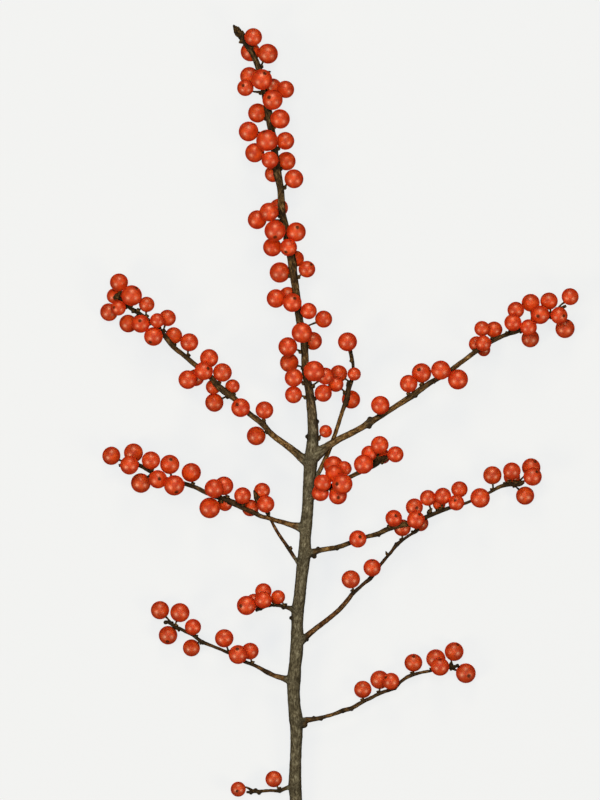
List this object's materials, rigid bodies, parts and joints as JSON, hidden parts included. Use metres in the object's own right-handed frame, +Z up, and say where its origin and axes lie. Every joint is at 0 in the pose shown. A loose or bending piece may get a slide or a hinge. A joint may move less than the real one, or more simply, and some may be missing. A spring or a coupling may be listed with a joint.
{
  "type": "holly sprig",
  "caption": "Cut leafless branch of deciduous holly, lying on its back, with a woody stem, thin side twigs and round red berries on short stalks.",
  "frame": {"origin": "middle of the bottom of the whole sprig's box, on the surface it lies on", "axes": "+Y along the main stem from its cut end to the tip, +Z up off the surface, +X to the right seen from above with the tip away"},
  "size_m": [0.2016, 0.3505, 0.0377],
  "materials": {
    "bark": "rough grey-olive bark, browner and smoother on the thin twigs",
    "berry_skin": "smooth satin skin, orange-red"
  },
  "bodies": {
    "root": {"berries_back_01": "berry_skin", "berries_back_02": "berry_skin", "berries_back_03": "berry_skin", "berries_bottom_left_01": "berry_skin", "berries_bottom_left_02": "berry_skin", "berries_front_01": "berry_skin", "berries_front_02": "berry_skin", "berries_inner_right_01": "berry_skin", "berries_inner_right_02": "berry_skin", "berries_inner_right_03": "berry_skin", "berries_inner_right_04": "berry_skin", "berries_left_spur_01": "berry_skin", "berries_lower_left_01": "berry_skin", "berries_lower_left_02": "berry_skin", "berries_lower_left_03": "berry_skin", "berries_lower_right_01": "berry_skin", "berries_lower_right_02": "berry_skin", "berries_lower_right_03": "berry_skin", "berries_lower_right_04": "berry_skin", "berries_mid_left_01": "berry_skin", "berries_mid_left_02": "berry_skin", "berries_mid_left_03": "berry_skin", "berries_mid_left_04": "berry_skin", "berries_mid_left_05": "berry_skin", "berries_mid_right_01": "berry_skin", "berries_mid_right_02": "berry_skin", "berries_mid_right_03": "berry_skin", "berries_mid_right_04": "berry_skin", "berries_mid_right_05": "berry_skin", "berries_mid_right_06": "berry_skin", "berries_slanting_01": "berry_skin", "berries_stem_01": "berry_skin", "berries_stem_02": "berry_skin", "berries_stem_03": "berry_skin", "berries_stem_04": "berry_skin", "berries_stem_05": "berry_skin", "berries_stem_06": "berry_skin", "berries_stem_07": "berry_skin", "berries_stem_08": "berry_skin", "berries_stem_09": "berry_skin", "berries_stem_10": "berry_skin", "berries_stem_11": "berry_skin", "berries_stem_12": "berry_skin", "berries_stem_13": "berry_skin", "berries_stem_14": "berry_skin", "berries_upper_left_01": "berry_skin", "berries_upper_left_02": "berry_skin", "berries_upper_left_03": "berry_skin", "berries_upper_left_04": "berry_skin", "berries_upper_left_05": "berry_skin", "berries_upper_left_06": "berry_skin", "berries_upper_left_07": "berry_skin", "berries_upper_left_08": "berry_skin", "berries_upper_left_09": "berry_skin", "berries_upper_right_01": "berry_skin", "berries_upper_right_02": "berry_skin", "berries_upper_right_03": "berry_skin", "berries_upper_right_04": "berry_skin", "berries_upper_right_05": "berry_skin", "branch": "bark"}
  },
  "joints": []
}
